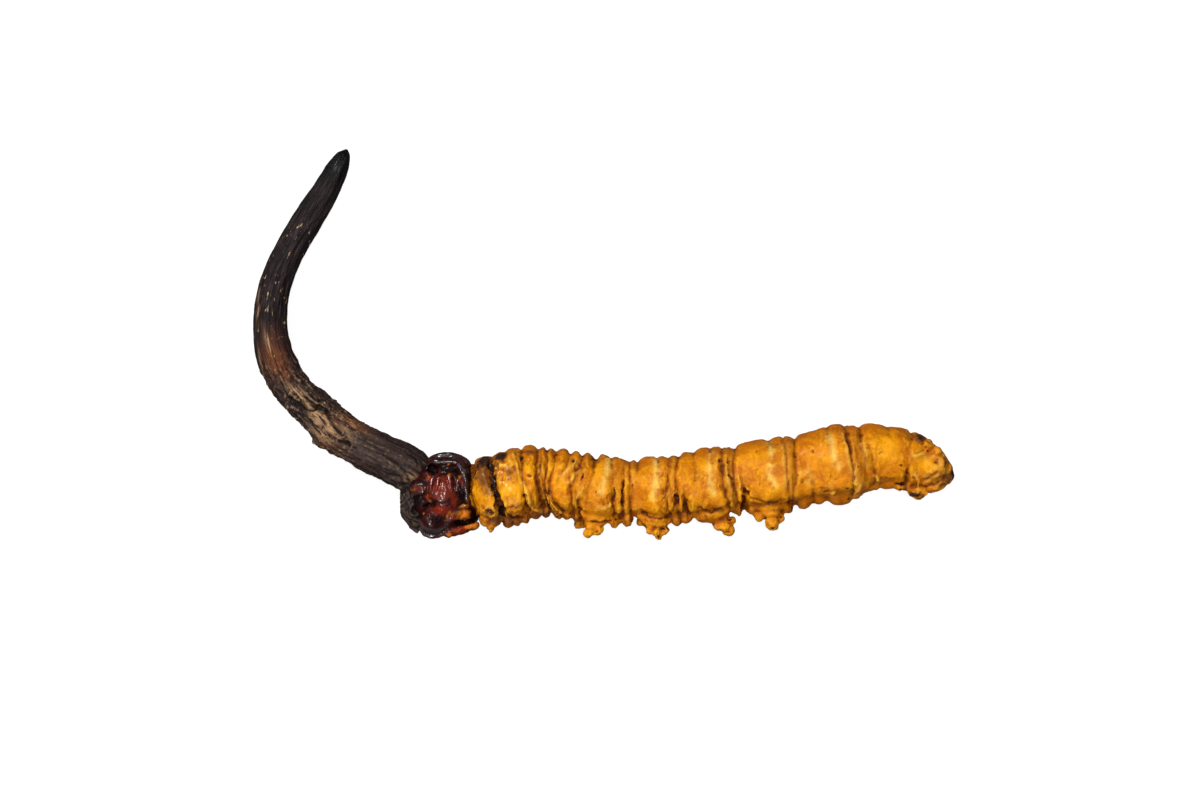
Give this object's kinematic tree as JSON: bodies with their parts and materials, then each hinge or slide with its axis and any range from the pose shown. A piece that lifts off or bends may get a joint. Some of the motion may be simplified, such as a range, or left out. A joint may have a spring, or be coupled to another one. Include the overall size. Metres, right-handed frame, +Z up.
{
  "type": "dried cordyceps",
  "caption": "Dried cordyceps lying on its side: a ringed ochre larva with stubby legs, a glossy dark head, and a dark curved stalk growing from the head.",
  "frame": {"origin": "on the surface it lies on, under the middle of the specimen's outline", "axes": "+X from head to tail, +Y from the larva's belly towards its back, +Z up from the surface"},
  "size_m": [0.0527, 0.0294, 0.0053],
  "materials": {
    "larva_skin": "dry ochre skin, brown in the creases, dull with a faint waxy sheen on the folds",
    "head_shell": "glossy dark red-brown horn, amber where it is thin",
    "stroma_flesh": "matt black-brown, finely ridged lengthwise, rough like bark near the bend, glossier at the tip"
  },
  "bodies": {
    "root": {"larva": "larva_skin", "head": "head_shell", "stroma": "stroma_flesh"}
  },
  "joints": []
}
